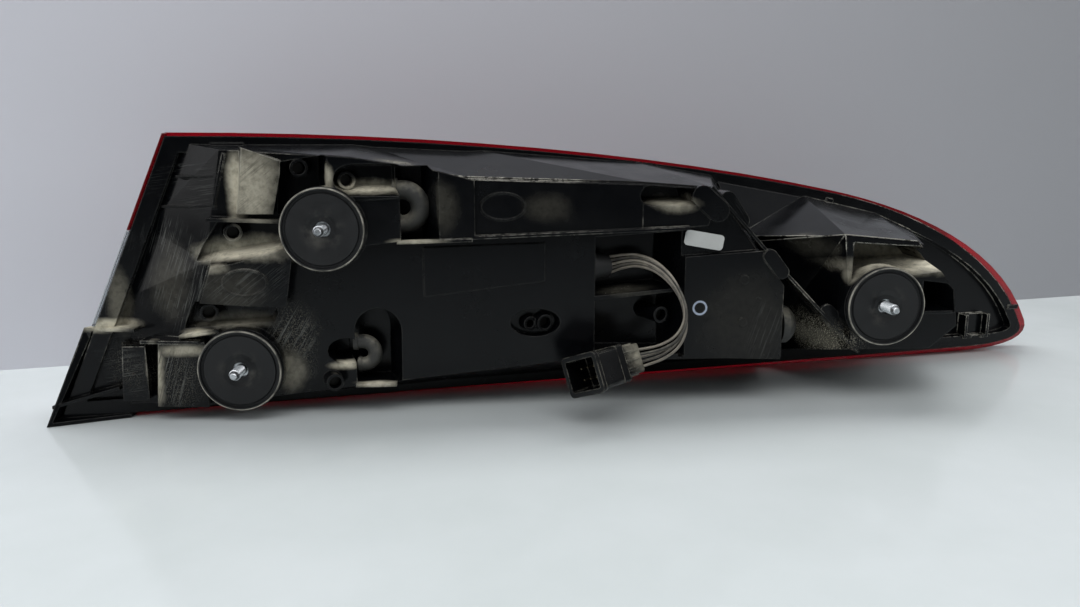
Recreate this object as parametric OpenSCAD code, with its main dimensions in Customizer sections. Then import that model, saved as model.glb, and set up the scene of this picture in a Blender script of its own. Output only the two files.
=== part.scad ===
/* [Mounting studs] */
// Diameter of each stud
stud_d = 6; // [5:0.5:8]
// Length of each stud beyond the crest of its seal
stud_reach = 11; // [9:1:24]
// Place of the lower stud along the lamp
lower_stud_x = -47; // [-50:1:-42]
// Height of the lower stud
lower_stud_z = -75; // [-76.5:0.5:-70]
// Place of the outer stud along the lamp
outer_stud_x = 307; // [303:1:311]
// Height of the outer stud
outer_stud_z = -45; // [-48:1:-42]

/* [Stud seals] */
// Diameter of each rubber seal
seal_d = 44; // [38:1:46]
// Thickness of each seal at its lip
seal_t = 4; // [3:0.5:6]
// Width of the lip around a seal
seal_lip = 1.4; // [1:0.2:2.4]
// Depth of a seal's face behind its lip
seal_drop = 0.8; // [0.4:0.2:1.6]
// Gap between a stud and its seal
seal_gap = 1.2; // [0.6:0.2:2]

/* [Lamp outline] */
// Left end of the top edge
top_left_x = -86; // [-90:1:-82]
// Height of the top edge at its left end
top_left_z = 50; // [49:1:54]
// Left end of the bottom edge
bottom_left_x = -150; // [-156:1:-147]
// Height of the bottom edge
bottom_z = -104; // [-108:1:-103]
// Place of the pointed tip
tip_x = 484; // [480:1:500]
// Height of the pointed tip
tip_z = -84; // [-86:1:-80]
// Angle between the lens joint and the mounting face
rim_yaw = 10.5; // [10:0.5:12]
// Distance from the mounting face to the lens joint at the upper stud
rim_y = 46; // [45:1:50]

/* [Housing] */
// Wall of the housing
wall = 2.5; // [2:0.25:3]
// Distance from the mounting face to the main back plate
back_y = 12; // [11:0.5:13]
// Depth of the rim flange
flange_depth = 10; // [9.5:0.5:12]
// How far the flange sits inside the edge of the lens
flange_in = 2; // [1.5:0.5:4]
// How much further in the flange lies at the pointed tip
flange_tip = 12; // [10:1:14]
// Width of the glue channel in the flange
channel_w = 5; // [4.5:0.25:6]
// Depth of the glue channel
channel_depth = 7; // [6:0.5:7.5]
// Depth of the shallow pan at the outer end
pan_depth = 4; // [3.5:0.25:5]
// Slant of the moulding's draw
draw_yaw = 20; // [16:1:24]
// Thickness of the stiffening ribs
rib_t = 1.8; // [1.4:0.2:2.4]
// Diameter of each screw boss
boss_d = 9.5; // [8.5:0.5:11]

/* [Lens] */
// Wall of the lens
lens_t = 3; // [2:0.25:3.5]
// Height of the lens crown over the joint
lens_crown = 42; // [40:1:50]
// Place of the crown along the lamp
crown_x = 120; // [100:5:140]
// Radius of the crown along the lamp
crown_long_r = 2200; // [2100:50:2600]
// Radius of the crown across the lamp
crown_cross_r = 400; // [360:20:600]

/* [Light units] */
// Radius of each reflector bowl
bowl_r = 13; // [10:0.5:14]
// Depth of each reflector bowl
bowl_depth = 11; // [8:0.5:12]
// Space between the bowls
bowl_pitch = 32; // [30:1:34]
// Wall of the reflectors
reflector_t = 1.4; // [1:0.2:2]
// Thickness of the circuit boards
board_t = 1.6; // [1:0.2:2]
// Thickness of the bezel
bezel_t = 2; // [1.5:0.25:3]
// Width of the light guide
guide_w = 7; // [5:0.5:9]

/* [Screws] */
// Shank of the housing screws
screw_d = 3.5; // [3:0.25:4]
// Head of the housing screws
screw_head_d = 5.6; // [5:0.2:6]
// Depth of the hole in a screw boss
boss_bore = 7; // [5:0.5:9]

/* [Wires and connector] */
// Outer diameter of each wire
wire_d = 1.6; // [1.2:0.2:2]
// Width of the connector
plug_w = 27; // [25:1:29]
// Height of the connector
plug_h = 22; // [20:1:24]
// Length of the connector's open mouth
plug_mouth = 17; // [15:1:19]
// Length of the connector's wire end
plug_tail = 19; // [17:1:21]
// Wall of the connector
plug_wall = 1.8; // [1.4:0.2:2.2]

/* [Hidden] */
$fn = 48;

// Plane geometry: unit vectors, outlines moved inwards, and curves.
function unit(v) = v / norm(v);
function inward(a, b) = let (d = unit(b - a)) [-d[1], d[0]];
function inset(pts, d) = [
    for (i = [0 : len(pts) - 1])
        let (n = len(pts),
             before = inward(pts[(i + n - 1) % n], pts[i]),
             after = inward(pts[i], pts[(i + 1) % n]))
        pts[i] + d * (before + after) / (1 + before * after)
];
function bezier(a, b, c, d, n) = [
    for (i = [0 : n - 1])
        let (t = i / n, s = 1 - t)
        s * s * s * a + 3 * s * s * t * b + 3 * s * t * t * c + t * t * t * d
];
function arc(cx, cz, r, from, to, n) = [
    for (i = [0 : n])
        let (a = from + (to - from) * i / n)
        [cx + r * cos(a), cz + r * sin(a)]
];
function oval(cx, cz, rx, rz, n) = [
    for (i = [0 : n - 1]) [cx + rx * cos(360 * i / n), cz + rz * sin(360 * i / n)]
];

// The lens joint is a plane that turns away from the mounting face along the lamp.
function rim_at(x, q = 0) = rim_y + tan(rim_yaw) * x + q / cos(rim_yaw);
function on_rim(pts) = [for (p = pts) [p[0] / cos(rim_yaw), p[1]]];
module in_rim() {
    translate([0, rim_y, 0]) rotate([0, 0, rim_yaw]) children();
}

// The lamp's outline, anticlockwise from the lower left corner. Each control point has
// the way it moves when the outline is drawn a distance d further in.
function moved(x, z, dx, dz, d) = [x + dx * d, z + dz * d];
function lamp_outline(d) =
    let (back = d < flange_in ? 0 : flange_tip,
         corner = moved(bottom_left_x, bottom_z, 1.5, 1, d),
         nose = moved(tip_x - 54 - back, bottom_z + 0.3 * back, -0.4, 0.95, d),
         nose_pull = moved(tip_x - 12 - back, bottom_z + 0.3 * back, -0.75, 0.9, d),
         tip_pull = moved(tip_x + 6 - back, tip_z - 12 + 0.2 * back, -1, 0.4, d),
         tip = moved(tip_x - back, tip_z, -1, 0.15, d),
         tip_rise = moved(tip_x - 27 - 0.8 * back, tip_z + 56 - 0.3 * back, -0.85, -0.45, d),
         shoulder_pull = moved(380 - 0.2 * back, 1, -0.5, -0.9, d),
         shoulder = moved(315, 14, -0.2, -1, d),
         shoulder_rise = moved(190, 39, -0.15, -1, d),
         top_pull = moved(45, top_left_z + 1, 0, -1, d),
         top = moved(top_left_x, top_left_z, 0.67, -1, d))
    concat(
        [corner],
        bezier(nose, nose_pull, tip_pull, tip, 8),
        bezier(tip, tip_rise, shoulder_pull, shoulder, 14),
        bezier(shoulder, shoulder_rise, top_pull, top, 12),
        [top]
    );
// A prism of an outline drawn in X and Z, from y0 to y1.
module prism(pts, y0, y1) {
    translate([0, y1, 0]) rotate([90, 0, 0]) linear_extrude(y1 - y0) polygon(pts);
}
module rim_prism(d, q0, q1) {
    in_rim() prism(on_rim(lamp_outline(d)), q0, q1);
}
module rim_ring(d0, d1, q0, q1) {
    difference() {
        rim_prism(d0, q0, q1);
        rim_prism(d1, q0 - 1, q1 + 1);
    }
}
// A closed solid through rings of points that have as many corners. Each end is a fan
// of flat triangles about its middle, so that an end may have inward corners.
function middle(ring) = [for (k = [0 : 2]) [for (p = ring) p[k]] * [for (p = ring) 1] / len(ring)];
module skin(rings) {
    n = len(rings[0]);
    last = (len(rings) - 1) * n;
    ends = len(rings) * n;
    polyhedron(
        points = concat([for (r = rings) each r], [middle(rings[0]), middle(rings[len(rings) - 1])]),
        faces = concat(
            [for (i = [0 : n - 1]) [i, (i + 1) % n, ends]],
            [for (i = [0 : n - 1]) [last + (i + 1) % n, last + i, ends + 1]],
            [for (k = [0 : len(rings) - 2]) for (i = [0 : n - 1])
                let (a = k * n + i, b = k * n + (i + 1) % n) each [[b, a, a + n], [b, a + n, b + n]]]
        )
    );
}

// A solid between two outlines that run anticlockwise seen from the mounting side.
module loft(near, far) {
    skin([far, near]);
}

// The back of the housing. Outlines lie in X and Z on the main back plate's level.
taper = 1.5;
function capsule(ax, az, bx, bz, r) =
    let (turn = atan2(bz - az, bx - ax))
    concat(arc(bx, bz, r, turn - 90, turn + 90, 8), arc(ax, az, r, turn + 90, turn + 270, 8));
main_near = [
    [-100, -95], [-73, -98], [-16, -91], [58, -83], [126, -76], [253, -76], [251, -34],
    [209, 21], [169, 24], [74, 27], [12, 37], [-53, 41], [-64, -18], [-77, -55]
];
main_far = [
    [-126, -98], [-73, -98.5], [-16, -98], [58, -98], [126, -97.5], [268, -97], [266, -32],
    [228, 25], [176, 34], [74, 42], [12, 45], [-80, 45], [-98, 0], [-114, -40]
];
pillar_y = 8;
pillar_near = [[292, -71], [338, -71], [353, -58], [350, -37], [326, -9], [284, -5]];
pillar_far = [[270, -92], [372, -92], [392, -76], [385, -40], [352, -14], [214, -20]];
// Sections through the roof over the pillar: its front edge, and its root under and over.
roof = [
    [[238, 56, -11], [240, -28], [231, 22]],
    [[285, pillar_y + 0.7, -6], [290, -28], [292, 11]],
    [[326, pillar_y + 0.7, -10], [330, -28], [345, -1]],
    [[350, 44, -16], [352, -28], [374, -13]]
];
// Each raised block: its outline and the level of its face.
raised_blocks = [
    [[[-46, 8], [-28, 8], [-22, 35], [-42, 42]], 4],
    [[[-69, -39], [-34, -42], [-24, -41], [-19, -10], [-61, -17]], 4],
    [[[-95, -95], [-68, -96], [-68, -60], [-92, -60]], 4],
    [[[-113, -92], [-99, -92], [-99, -62], [-111, -62]], 6],
    [[[1, 14], [38, 16], [39, 33], [14, 37], [0, 38]], 5],
    [[[12, -10], [38, -7], [38, 17], [12, 16]], 6],
    [[[55, -7], [77, -5], [77, 25], [54, 31]], 5],
    [[[75, -5], [169, -2], [169, 22.5], [75, 25.5]], 8],
    [[[168, -3], [206, 0], [210, 17], [196, 20.5], [168, 22.5]], 9],
    [[[193, -74], [249.5, -76], [249.5, -34], [236, -14], [193, -17]], 8],
    [[[51, -38], [117, -30], [117, -9], [51, -11]], 11]
];
// Each recess: its outline, the level of its floor and how far its lower wall slopes up.
recesses = [
    [[[-24, 8], [0, 8], [0, 37.5], [-22, 34]], 24, 0],
    [[[-68, -23], [-21, -11], [-21, 3], [-56, 3]], 20, 8],
    [concat([[-77, -57], [-30, -53]], arc(-33, -47, 5, -40, 60, 4), [[-71, -39.5]]), 19, 5],
    [concat([[38, 14.5], [38, 33]], arc(13.5, 23.5, 9, 90, 270, 10)), 20, 8],
    [[[39, -7.5], [57, -7.5], [57, 32], [39, 31.5]], 32, 0],
    [concat([[14, -86], [37, -86]], arc(25.5, -57, 12, 0, 180, 12)), 33, 0],
    [oval(8, -69, 9.5, 7.5, 16), 32, 4],
    [[[146, -38], [192, -34], [192, -4], [146, -7]], 38, 0],
    [[[146, -71], [193, -72], [192, -37.5], [146, -42.5]], 34, 0],
    [concat([[199, 9], [197, 19], [176, 21]], arc(174, 15, 6, 90, 270, 8)), 26, 6],
    [oval(112, -53.5, 13.5, 7.5, 20), 18, 0]
];
pillar_recesses = [
    [[[289, -33], [347, -26.5], [342, -18], [325, -13.5], [289, -11]], 42, 8],
    [[[331, -49], [350, -49], [348, -35], [331, -33]], 40, 0]
];
function drawn(pts, y, d) = [
    for (p = inset(pts, d)) [p[0] - tan(draw_yaw) * (y - back_y), y, p[1]]
];
// A ring pressed together upwards: its top stays and its bottom rises by lift.
function lifted(ring, lift) =
    let (top = max([for (p = ring) p[2]]), low = min([for (p = ring) p[2]]))
    [for (p = ring) p + [0, 0, lift * (top - p[2]) / (top - low)]];
module main_body(t) {
    loft(
        [for (p = inset(main_near, t)) [p[0], back_y + t, p[1]]],
        [for (p = inset(main_far, t)) [p[0], rim_at(p[0], 1 - pan_depth + t), p[1]]]
    );
}
module pillar(t) {
    loft(
        [for (p = inset(pillar_near, t)) [p[0], pillar_y + t, p[1]]],
        [for (p = inset(pillar_far, t)) [p[0], rim_at(p[0], 1 - pan_depth + t), p[1]]]
    );
}
module pillar_roof(t) {
    skin([
        for (i = [0 : len(roof) - 1])
            let (edge = roof[i][0], low = roof[i][1], top = roof[i][2],
                 side = (i == 0 ? 1 : i == len(roof) - 1 ? -1 : 0) * t)
            [
                edge + [side, 2.5 * t, -0.5 * t],
                [low[0] + side, rim_at(low[0], 1 - pan_depth + t), low[1]],
                [top[0] + side, rim_at(top[0], 1 - flange_depth + t), top[1] - 1.4 * t]
            ]
    ]);
}
module raised_block(b, t) {
    loft(drawn(b[0], b[1] + t, t), drawn(b[0], back_y + 3 + t, t - taper / 3));
}
module recess(r, t) {
    loft(drawn(r[0], -6, -t - taper), lifted(drawn(r[0], r[1] + t, -t), r[2]));
}
module form(t) {
    difference() {
        union() {
            main_body(t);
            for (b = raised_blocks) raised_block(b, t);
        }
        for (r = recesses) recess(r, t);
    }
    difference() {
        union() {
            pillar(t);
            pillar_roof(t);
        }
        for (r = pillar_recesses) recess(r, t);
    }
}
channel_wall = 1.8;
channel_d = flange_in + channel_wall;
hole_d = channel_d + channel_w + channel_wall;

// The open corner piece below the lens's lower left end.
module corner_shell(t, front, aside) {
    skin([
        [
            [-149 + t, -front, bottom_z + t], [-111 + aside, 14 - front, bottom_z + t],
            [-111 + aside, rim_at(-111) - 4 - t, bottom_z + t], [-148 + t, rim_at(-148) - 4 - t, bottom_z + t]
        ],
        [
            [-131 + t, 14 - front, -53 - t], [-103 + aside, 9 - front, -53 - t],
            [-103 + aside, rim_at(-103) - 4 - t, -53 - t], [-129 + t, rim_at(-129) - 4 - t, -53 - t]
        ]
    ]);
}
// A thin shelf from one point of the slanting walls to another.
module shelf(a, b, thick, deep_a, deep_b) {
    skin([
        [a, b, b + [0, deep_b, 0], a + [0, deep_a, 0]],
        [a + [0, 0, thick], b + [0, 0, thick], b + [0, deep_b, thick], a + [0, deep_a, thick]]
    ]);
}
module corner_piece() {
    difference() {
        corner_shell(0, 0, 0);
        corner_shell(2, 20, 9);
    }
    shelf([-146.5, 3, -95], [-114, 10, -87], rib_t, 14, 8);
    shelf([-88, 20.9, 10.5], [-56, 11.3, 11.2], 1.2, 4, 4);
    shelf([-78, 17.8, 26.4], [-52, 11.2, 26.7], 1.2, 4, 4);
}

// Ribs and pads that stand on the housing's back.
rib_from = [208, 21];
rib_turn = [251, -26];
rib_to = [297, -73];
function strip(a, b, w) = let (n = [a[1] - b[1], b[0] - a[0]] / norm(b - a) * w / 2) [a + n, a - n, b - n, b + n];
ledges = [
    [[-59, 5.5], [-20, 4], 2, 14], [[38, -7.5], [78, -6.5], 4, 16], [[74, -5.5], [196, -1], 5, 13],
    [[13, -86.5], [35, -86.5], 7, 20], [[-98, -59], [-68, -60], 3, 14], [[-79, -57.5], [-58, -54.5], 6, 20],
    [[331, -49.5], [348, -49.5], 5, 30]
];
// A bare oval rim on a face at level y.
module oval_rim(cx, cz, rx, rz, y) {
    difference() {
        prism(oval(cx, cz, rx, rz, 28), y - 0.5, y + 1);
        prism(oval(cx, cz, rx - 0.9, rz - 0.9, 28), y - 2, y + 2);
    }
}
module ribs() {
    for (r = ledges) prism(strip(r[0], r[1], rib_t), r[2], r[3]);
    prism(strip(rib_from, rib_turn, rib_t), 8.5, back_y + 1);
    prism(strip(rib_turn, rib_to, rib_t), 8.5, 24);
    prism(capsule(203, 16, 212, 8, 6), 7.5, back_y);
    prism(capsule(219, 14, 227, 2, 4.5), 14, 30);
    prism(capsule(242, -17, 249, -26, 4), 7, back_y);
    prism(capsule(279, -50, 290, -62, 4.5), 13, 15);
    for (z = [-30, -54]) translate([228, back_y, z]) rotate([90, 0, 0]) cylinder(d = 5, h = 4.8);
    oval_rim(94.5, 11, 12.5, 7.6, 8);
    oval_rim(-42, -28, 12, 7.4, 4);
    prism(strip([-50.5, 39], [-57.5, 12], 1.6), 11.2, back_y + 2);
}
// Details of the flange: clip pads, a cross rib and the latch box in the pan.
clip_pads = [
    [[-63, 43], [-46, 43]], [[82, 38.5], [100, 37]], [[183, 29], [197, 27.2]],
    [[202, 26.4], [216, 24.2]], [[306, 8.2], [311, 7.2]], [[458, -71], [466, -71]]
];
module flange_details() {
    for (c = clip_pads) in_rim() prism(on_rim(strip(c[0], c[1], 3)), -flange_depth - 1.2, 0.5 - flange_depth);
    in_rim() translate([430, 0.5 - pan_depth, -92]) rotate([90, 0, 0]) difference() {
        cube([20, 17, 8]);
        translate([2, 2, 3]) cube([16, 20, 8]);
        translate([6, -1, 5]) cube([8, 5, 8]);
    }
}

// Screw bosses: place in X and Z, level of the open end and of the root.
bosses = [
    [-12.5, 31.5, 12, 26], [-48, -2, 10, 22], [-63.5, -45, 10, 21], [2.5, -83.5, 4, 24],
    [12, 25, 12, 22], [183, -50.5, 14, 36], [117.5, -53.5, 11, 20]
];
// A plain sleeve beside the last boss.
sleeve = [106.5, -54, 11.5, 20];
module at_boss(b) {
    translate([b[0], b[2], b[1]]) rotate([90, 0, draw_yaw]) children();
}
// The gland where the wires leave, square to the slanting wall.
gland_at = [142, 22, -24];
gland_long = 12;
gland_neck = 11;
module at_gland() {
    translate(gland_at) rotate([0, 90, draw_yaw]) children();
}
module housing() {
    color("#1b1c1e") difference() {
        union() {
            difference() {
                union() {
                    form(0);
                    difference() {
                        rim_prism(flange_in, -flange_depth, 0);
                        rim_prism(hole_d, -flange_depth - 1, -pan_depth);
                    }
                    corner_piece();
                }
                difference() {
                    form(wall);
                    rim_ring(0, hole_d, -flange_depth, 5);
                }
                rim_prism(hole_d, wall - pan_depth, 1);
                rim_ring(channel_d, channel_d + channel_w, -channel_depth, 1);
            }
            for (b = bosses) at_boss(b) translate([0, 0, b[2] - b[3]]) cylinder(d = boss_d, h = b[3] - b[2]);
            translate([sleeve[0], sleeve[3], sleeve[1]]) rotate([90, 0, draw_yaw])
                cylinder(d = 8, h = sleeve[3] - sleeve[2]);
            for (s = studs) stud_seat(s);
            ribs();
            flange_details();
        }
        for (b = bosses) at_boss(b) {
            translate([0, 0, -boss_bore]) cylinder(d = screw_head_d + 1, h = boss_bore + 1);
            translate([0, 0, -40]) cylinder(d = screw_d, h = 40);
        }
        translate([sleeve[0], sleeve[3] - 1, sleeve[1]]) rotate([90, 0, draw_yaw]) cylinder(d = 4.5, h = 12);
        for (s = studs) translate([s[0], seal_t, s[1]]) rotate([-90, 0, 0]) cylinder(d = stud_root_d, h = stud_root);
        at_gland() translate([0, 0, -5]) cylinder(d = gland_neck, h = 7);
    }
}
stud_root = 14;
stud_root_d = stud_d + 3;
studs = [[0, 0, 24], [lower_stud_x, lower_stud_z, 22], [outer_stud_x, outer_stud_z, 30]];
module stud_seat(s) {
    translate([s[0], seal_t, s[1]]) rotate([-90, 0, 0]) cylinder(d = seal_d + 1, h = back_y + 2 - seal_t);
    translate([s[0], seal_t, s[1]]) rotate([-90, 0, 0]) cylinder(d = 16, h = s[2] - seal_t);
}
module stud(s) {
    color("#b9bcc0") translate([s[0], 0, s[1]]) rotate([90, 0, 0]) {
        translate([0, 0, -seal_t - stud_root]) cylinder(d = stud_root_d, h = stud_root);
        translate([0, 0, -seal_t]) cylinder(d = stud_d, h = seal_t + stud_reach - 3);
        translate([0, 0, stud_reach - 3]) cylinder(d1 = stud_d, d2 = stud_d * 0.55, h = 3);
    }
}
module seal(s) {
    r = seal_d / 2;
    hole = stud_d / 2 + seal_gap;
    color("#3b3c3d") translate([s[0], 0, s[1]]) rotate([90, 0, 0]) rotate_extrude() polygon([
        [hole, -seal_t], [r - 0.6, -seal_t], [r, -seal_t + 0.8], [r, -0.5], [r - 0.4, 0],
        [r - seal_lip, 0], [r - seal_lip - 0.3, -seal_drop - 0.8], [r - seal_lip - 1.3, -seal_drop - 0.8],
        [r - seal_lip - 1.9, -seal_drop], [hole + 5, -seal_drop - 0.2], [hole + 2.5, -seal_drop - 1], [hole, -seal_drop - 1]
    ]);
}
module stud_upper() { stud(studs[0]); }
module stud_lower() { stud(studs[1]); }
module stud_outer() { stud(studs[2]); }
module seal_upper() { seal(studs[0]); }
module seal_lower() { seal(studs[1]); }
module seal_outer() { seal(studs[2]); }

// The lens: a crowned shell in two colours with a foot that stands in the glue channel.
module crown(t) {
    in_rim() translate([crown_x, lens_crown - crown_long_r, -30]) rotate([0, 0, 78])
        rotate_extrude(angle = 24, $fn = 720) intersection() {
            translate([crown_long_r - crown_cross_r, 0]) circle(crown_cross_r - t, $fn = 240);
            translate([crown_long_r - 70, -120]) square([70, 240]);
        }
}
tongue_t = 2;
tongue_d = channel_d + (channel_w - tongue_t) / 2;
tongue_q = -channel_depth + 2;
module lens() {
    difference() {
        intersection() {
            rim_prism(0, 0, 80);
            crown(0);
        }
        intersection() {
            rim_prism(lens_t, -1, 80);
            crown(lens_t);
        }
    }
    rim_ring(1, tongue_d + tongue_t, 0, lens_t);
    rim_ring(tongue_d, tongue_d + tongue_t, tongue_q, lens_t / 2);
}
clear_wedge = [[-200, -62], [300, -42], [310, -38], [300, -34], [-200, 6]];
module wedge() {
    in_rim() prism(clear_wedge, -30, 90);
}
module lens_red() {
    color("#a80f1c") difference() {
        lens();
        wedge();
    }
}
module lens_clear() {
    color("#dfe3e6") intersection() {
        lens();
        wedge();
    }
}
module lens_seal() {
    color("#2a2a2b") rim_ring(channel_d, channel_d + channel_w, -channel_depth, tongue_q);
}

// Light units: bowls in two rows, in the frame of the lens joint.
brake_row = [for (i = [0 : 7]) [-10 + i * bowl_pitch, -76]];
turn_row = [for (i = [0 : 4]) [-14 + i * bowl_pitch, -27]];
bowl_row = concat(brake_row, turn_row);
module bowl() {
    steps = 6;
    floor_r = 3.5;
    function dish(k, t) = let (r = floor_r + (bowl_r - floor_r) * k / steps)
        [r + t, -bowl_depth * (1 - pow(k / steps, 2))];
    rotate([-90, 0, 0]) rotate_extrude() polygon(concat(
        [for (k = [0 : steps]) dish(k, 0)],
        [for (k = [steps : -1 : 0]) dish(k, reflector_t)]
    ));
}
module reflector() {
    color("#d5d8da") in_rim() {
        difference() {
            prism(on_rim(lamp_outline(hole_d + 1.5)), -reflector_t, 0);
            for (c = bowl_row) translate([c[0], 1, c[1]]) rotate([90, 0, 0]) cylinder(r = bowl_r, h = 5);
            prism(on_rim(guide_path(0)), -5, 5);
        }
        for (c = bowl_row) translate([c[0], 0, c[1]]) bowl();
    }
}
// The strip that the light guide follows under the lamp's upper edge.
function upper_edge(d) = [for (p = lamp_outline(d)) if (p[1] > -60 && p[0] < tip_x - 60) p];
function backwards(pts) = [for (i = [len(pts) - 1 : -1 : 0]) pts[i]];
function guide_path(d) = concat(upper_edge(hole_d + 6 + d), backwards(upper_edge(hole_d + 6 + guide_w - d)));
module light_guide() {
    color("#f0f2f4") in_rim() prism(on_rim(guide_path(0.3)), -1, 6);
}
module bezel() {
    color("#2b2c2e") in_rim() difference() {
        prism(on_rim(lamp_outline(hole_d - 3)), 0, bezel_t);
        for (c = bowl_row) translate([c[0], 5, c[1]]) rotate([90, 0, 0]) cylinder(r = bowl_r, h = 10);
        prism(on_rim(guide_path(0)), -5, 5);
    }
}
module reflex_tile() {
    color("#b0202a") in_rim() prism([[270, -88], [420, -88], [400, -60], [270, -60]], bezel_t, bezel_t + 4);
}
module board(x0, x1, z0, z1) {
    in_rim() translate([x0, -bowl_depth - board_t, z0]) cube([x1 - x0, board_t, z1 - z0]);
}
module brake_board() {
    color("#22552f") board(-26, 6 + 7 * bowl_pitch, -86, -66);
}
module turn_board() {
    color("#22552f") board(-30, 2 + 4 * bowl_pitch, -38, -16);
}
module led_chips() {
    color("#e8d36a") in_rim() for (c = bowl_row)
        translate([c[0] - 1.5, -bowl_depth, c[1] - 1.5]) cube([3, 1.2, 3]);
}
module housing_screws() {
    color("#8d9094") for (b = bosses) at_boss(b) translate([0, 0, -boss_bore]) {
        cylinder(d = screw_head_d, h = 2.2);
        translate([0, 0, -8]) cylinder(d = screw_d, h = 8);
    }
}

// Rubber vents: bent tubes over breather holes.
module bent_vent(r, tube_r) {
    rotate([90, 0, 0]) {
        rotate([0, 0, -90]) rotate_extrude(angle = 180) translate([r, 0]) circle(tube_r);
        translate([0, r, 0]) rotate([0, -90, 0]) cylinder(r = tube_r, h = 4);
        translate([-2.5, r, 0]) rotate([0, -90, 0]) cylinder(r = tube_r * 1.2, h = 2.5);
        translate([0, -r, 0]) rotate([0, -90, 0]) cylinder(r = tube_r, h = 3);
        translate([-1, -r, 0]) rotate([0, -90, 0]) cylinder(r = tube_r * 1.12, h = 1.5);
    }
}
module vent_upper() {
    color("#6d6e6d") translate([40, 22, 10]) bent_vent(9.5, 5.2);
}
module vent_lower() {
    color("#6d6e6d") translate([15.5, 22, -71.5]) bent_vent(6.6, 4);
}
module vent_outer() {
    color("#6d6e6d") translate([256, 28, -60]) rotate([0, 90, 0]) {
        cylinder(r = 11, h = 2);
        intersection() {
            translate([0, 0, -3]) sphere(r = 13);
            cylinder(r = 11, h = 12);
        }
    }
}

// The wires: one route by hand, with each wire's own places at its two ends.
wire_route = [
    [153.3, 26.1, -24], [157.5, 26.5, -23], [163, 25, -21.5], [170, 21, -20.5], [178, 14.5, -22.5], [185, 7.5, -28],
    [190, 2, -36], [192.5, -2, -45], [192, -4, -54], [188, -3.5, -62], [181, -0.5, -68], [172, 2, -71.5], [162.8, -1.5, -72]
];
wire_start = [[0, 0, 5.2], [0, 0, 2.6], [0, 0, 0], [0, 0, -2.6], [0, 0, -5.2]];
wire_end = [[-1, 1, 5], [1, -2, 3], [0, 2, 0], [-1, 0, -3], [1, -2, -5]];
function wire_points(i) = [
    for (k = [0 : len(wire_route) - 1])
        let (t = k / (len(wire_route) - 1))
        wire_route[k] + (1 - t) * (1 - t) * wire_start[i] + t * t * wire_end[i]
];
function along(p, k) = unit(p[min(k + 1, len(p) - 1)] - p[max(k - 1, 0)]);
function tube_rings(p, r, sides) = [
    for (k = [0 : len(p) - 1])
        let (t = along(p, k), u = unit(cross(t, [0.3, 0.9, 0.1])), v = cross(t, u))
        [for (j = [0 : sides - 1]) p[k] + r * (cos(360 * j / sides) * u + sin(360 * j / sides) * v)]
];
module wire(i, shade) {
    color(shade) skin(tube_rings(wire_points(i), wire_d / 2, 8));
}
module wire_1() { wire(0, "#8c8378"); }
module wire_2() { wire(1, "#7c7468"); }
module wire_3() { wire(2, "#948c80"); }
module wire_4() { wire(3, "#6f685e"); }
module wire_5() { wire(4, "#857c70"); }
module wire_grommet() {
    color("#333435") at_gland() {
        translate([0, 0, -5]) cylinder(d = gland_neck, h = 5);
        translate([0, 0, 0]) cylinder(r = 9, h = 2.5);
        translate([0, 0, 2.5]) cylinder(r1 = 8, r2 = 7, h = gland_long - 2.5);
    }
}
loom_route = [[137.3, 20.3, -24], [132, 21, -24], [128, 27, -24], [125, 36, -25], [123, 45, -27], [121, 51, -28]];
module inner_loom() {
    color("#1f1f20") skin(tube_rings(loom_route, 2.5, 8));
}

// The connector, drawn along X from its wire end to its mouth.
plug_at = [134, -24, -74];
plug_turn = [21, 3, 218];
module at_plug() {
    translate(plug_at) rotate(plug_turn) children();
}
function rounded(w, h, r) = concat(
    arc(w / 2 - r, h / 2 - r, r, 0, 90, 4), arc(r - w / 2, h / 2 - r, r, 90, 180, 4),
    arc(r - w / 2, r - h / 2, r, 180, 270, 4), arc(w / 2 - r, r - h / 2, r, 270, 360, 4)
);
module block(x0, x1, w, h, r) {
    translate([x0, 0, 0]) rotate([90, 0, 90]) linear_extrude(x1 - x0) polygon(rounded(w, h, r));
}
tail_w = plug_w - 8;
tail_h = plug_h - 6;
module plug_shell() {
    color("#222324") at_plug() difference() {
        union() {
            block(-2.5, 0, plug_w, plug_h, 3);
            block(-plug_mouth, -2, plug_w - 2, plug_h - 2, 2.5);
            block(-plug_mouth - plug_tail, 1 - plug_mouth, tail_w, tail_h, 1.5);
            for (y = [-6, -2, 2, 6]) translate([-plug_mouth - plug_tail + 2, y - 0.6, -tail_h / 2 - 0.8])
                cube([plug_tail - 2, 1.2, tail_h + 1.6]);
            for (z = [-4.5, 0, 4.5]) translate([-plug_mouth - plug_tail + 2, -tail_w / 2 - 0.8, z - 0.6])
                cube([plug_tail - 2, tail_w + 1.6, 1.2]);
        }
        block(2 - plug_mouth, 1, plug_w - 2 - 2 * plug_wall, plug_h - 2 - 2 * plug_wall, 1);
        block(-plug_mouth - plug_tail - 1, -plug_mouth - plug_tail + 5, tail_w - 3, tail_h - 3, 1);
    }
}
module plug_collar() {
    color("#55504a") at_plug() difference() {
        block(-plug_mouth - 5, -plug_mouth, plug_w - 3, plug_h - 1.5, 1.5);
        block(-plug_mouth - 6, 1 - plug_mouth, tail_w + 1.6, tail_h + 1.6, 0.4);
    }
}
module plug_pins() {
    color("#c9a24a") at_plug() for (y = [-5, 0, 5]) for (z = [-3, 3])
        translate([2 - plug_mouth, y - 0.4, z - 0.4]) cube([10, 0.8, 0.8]);
}
module plug_wire_seal() {
    color("#7a5a45") at_plug()
        block(-plug_mouth - plug_tail, 5 - plug_mouth - plug_tail, tail_w - 3, tail_h - 3, 1);
}
module label() {
    color("#e4e6e6") translate([205, 10, -8]) rotate([0, 10, 0]) rotate([90, 0, 0])
        linear_extrude(0.3) polygon(rounded(22, 8.5, 2));
}

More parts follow.
